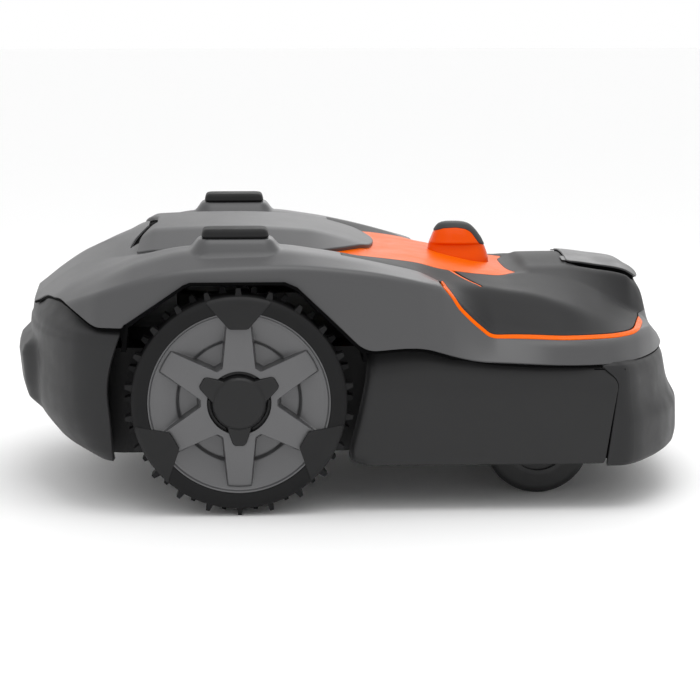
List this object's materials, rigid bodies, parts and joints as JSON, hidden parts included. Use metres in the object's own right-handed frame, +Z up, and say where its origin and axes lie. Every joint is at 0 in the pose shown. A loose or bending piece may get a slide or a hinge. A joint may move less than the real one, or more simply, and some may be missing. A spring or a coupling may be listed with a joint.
{
  "type": "robotic lawn mower",
  "caption": "Self-driving lawn mower with a floating body shell, two driven rear wheels, swivelling front casters and a height-adjustable blade disc.",
  "frame": {"origin": "on the ground under the middle of the body's length and width", "axes": "+X forward (driving direction), +Y left, +Z up"},
  "size_m": [0.819, 0.587, 0.326],
  "materials": {
    "axle_steel": "turned shaft",
    "battery_casing": "smooth casing",
    "blade_steel": "ground blade",
    "board_green": "solder mask",
    "bumper_rubber": "soft-touch, fine grain",
    "bush_plastic": "acetal",
    "carriage_plastic": "glass-filled",
    "caster_hub": "moulded",
    "caster_rubber": "smooth",
    "chassis_plastic": "coarse grain",
    "contact_metal": "plated strip",
    "cover_grey": "satin mid grey, fine grain",
    "deck_grey": "satin grey, fine grain",
    "disc_plastic": "worn glass-filled",
    "fork_plastic": "glass-filled",
    "hood_grey": "satin dark grey",
    "housing_black": "fine moulded grain",
    "hub_black": "satin black",
    "insert_rubber": "smooth rubber block",
    "keypad_rubber": "moulded keys",
    "knob_orange": "satin gloss",
    "knob_rubber": "soft-touch",
    "lid_black": "fine grain",
    "liner_black": "ribbed, matt",
    "motor_steel": "zinc-plated can",
    "mount_rubber": "soft",
    "orange_trim": "satin moulded trim",
    "pad_rubber": "soft pad",
    "panel_orange": "gloss",
    "rim_grey": "satin grey",
    "screen": "dark window",
    "screw_steel": "plain zinc plate",
    "skirt_grey": "fine grain",
    "spring_steel": "spring wire",
    "tyre_rubber": "lugged rubber"
  },
  "bodies": {
    "chassis": {"chassis_tub": "chassis_plastic", "chassis_cover": "chassis_plastic", "battery_pack": "battery_casing", "main_board": "board_green", "antenna_module": "housing_black", "caster_bushes": "bush_plastic", "guide_rods": "axle_steel", "height_motor": "motor_steel", "charging_contacts": "contact_metal", "drive_motor_left": "motor_steel", "drive_motor_right": "motor_steel"},
    "float_mounts": {"float_mounts": "mount_rubber"},
    "shell": {"main_cover": "cover_grey", "hood": "hood_grey", "orange_panel": "panel_orange", "front_bumper": "bumper_rubber", "rear_bumper": "bumper_rubber", "stop_housing": "housing_black", "service_lid_pin": "axle_steel", "console_tray": "housing_black", "display_screen": "screen", "keypad": "keypad_rubber", "stop_spring": "spring_steel", "accent_stripes": "orange_trim", "arch_liners": "liner_black", "top_pads": "pad_rubber", "side_skirt_left": "skirt_grey", "side_skirt_right": "skirt_grey"},
    "deck_lid": {"deck_lid": "deck_grey"},
    "service_lid": {"service_lid": "lid_black"},
    "stop_button": {"stop_button": "knob_orange", "stop_button_cap": "knob_rubber"},
    "height_carriage": {"height_carriage": "carriage_plastic", "blade_motor": "motor_steel"},
    "height_screw": {"height_screw": "axle_steel"},
    "cutting_disc": {"cutting_disc": "disc_plastic", "disc_shaft": "axle_steel", "blade_screws": "screw_steel"},
    "skid_plate": {"skid_plate": "disc_plastic"},
    "blade_1": {"blade_1": "blade_steel"},
    "blade_2": {"blade_2": "blade_steel"},
    "blade_3": {"blade_3": "blade_steel"},
    "wheel_left": {"tyre_left": "tyre_rubber", "rim_left": "rim_grey", "hub_cap_left": "hub_black", "wheel_axle_left": "axle_steel", "wheel_inserts_left": "insert_rubber"},
    "caster_left": {"caster_fork_left": "fork_plastic", "caster_axle_left": "axle_steel"},
    "caster_wheel_left": {"caster_tyre_left": "caster_rubber", "caster_hub_left": "caster_hub"},
    "wheel_right": {"tyre_right": "tyre_rubber", "rim_right": "rim_grey", "hub_cap_right": "hub_black", "wheel_axle_right": "axle_steel", "wheel_inserts_right": "insert_rubber"},
    "caster_right": {"caster_fork_right": "fork_plastic", "caster_axle_right": "axle_steel"},
    "caster_wheel_right": {"caster_tyre_right": "caster_rubber", "caster_hub_right": "caster_hub"}
  },
  "joints": [
    {"name": "shell_bump", "type": "slide", "parent": "chassis", "child": "float_mounts", "axis": [1, 0, 0], "range_m": [-0.003, 0.003], "stiffness_N_per_m": 4000},
    {"name": "shell_lift", "type": "slide", "parent": "float_mounts", "child": "shell", "axis": [0, 0, 1], "range_m": [0, 0.008]},
    {"name": "deck_lid_pull_off", "type": "slide", "parent": "shell", "child": "deck_lid", "axis": [0, 0, 1], "range_m": [0, 0.06]},
    {"name": "service_lid_hinge", "type": "hinge", "parent": "shell", "child": "service_lid", "pos_m": [0.2625, 0, 0.266], "axis": [0, -1, 0], "range_deg": [0, 75]},
    {"name": "stop_press", "type": "slide", "parent": "shell", "child": "stop_button", "axis": [0, 0, -1], "range_m": [0, 0.005], "stiffness_N_per_m": 1800, "springref_m": -0.003, "deforming": ["stop_spring"]},
    {"name": "cutting_height", "type": "slide", "parent": "chassis", "child": "height_carriage", "axis": [0, 0, 1], "range_m": [-0.02, 0.02]},
    {"name": "height_screw_spin", "type": "hinge", "parent": "chassis", "child": "height_screw", "pos_m": [0.0725, 0, 0.14], "axis": [0, 0, 1], "range_deg": [-370, 370]},
    {"name": "disc_spin", "type": "hinge", "parent": "height_carriage", "child": "cutting_disc", "pos_m": [0.0125, 0, 0.047], "axis": [0, 0, 1], "continuous": true},
    {"name": "skid_plate_spin", "type": "hinge", "parent": "cutting_disc", "child": "skid_plate", "pos_m": [0.0125, 0, 0.036], "axis": [0, 0, 1], "continuous": true},
    {"name": "blade_1_pivot", "type": "hinge", "parent": "cutting_disc", "child": "blade_1", "pos_m": [0.0965, 0, 0.0438], "axis": [0, 0, 1], "range_deg": [-60, 60]},
    {"name": "blade_2_pivot", "type": "hinge", "parent": "cutting_disc", "child": "blade_2", "pos_m": [-0.0295, 0.07275, 0.0438], "axis": [0, 0, 1], "range_deg": [-60, 60]},
    {"name": "blade_3_pivot", "type": "hinge", "parent": "cutting_disc", "child": "blade_3", "pos_m": [-0.0295, -0.07275, 0.0438], "axis": [0, 0, 1], "range_deg": [-60, 60]},
    {"name": "wheel_left_spin", "type": "hinge", "parent": "chassis", "child": "wheel_left", "pos_m": [-0.1375, 0.26, 0.132], "axis": [0, 1, 0], "continuous": true},
    {"name": "caster_left_swivel", "type": "hinge", "parent": "chassis", "child": "caster_left", "pos_m": [0.2495, 0.167, 0.15], "axis": [0, 0, 1], "continuous": true},
    {"name": "caster_left_roll", "type": "hinge", "parent": "caster_left", "child": "caster_wheel_left", "pos_m": [0.2195, 0.167, 0.063], "axis": [0, 1, 0], "continuous": true},
    {"name": "wheel_right_spin", "type": "hinge", "parent": "chassis", "child": "wheel_right", "pos_m": [-0.1375, -0.26, 0.132], "axis": [0, 1, 0], "continuous": true},
    {"name": "caster_right_swivel", "type": "hinge", "parent": "chassis", "child": "caster_right", "pos_m": [0.2495, -0.167, 0.15], "axis": [0, 0, 1], "continuous": true},
    {"name": "caster_right_roll", "type": "hinge", "parent": "caster_right", "child": "caster_wheel_right", "pos_m": [0.2195, -0.167, 0.063], "axis": [0, 1, 0], "continuous": true}
  ],
  "couplings": [
    {"joint": "height_screw_spin", "follows": "cutting_height", "rad_per_m": 314.16}
  ]
}
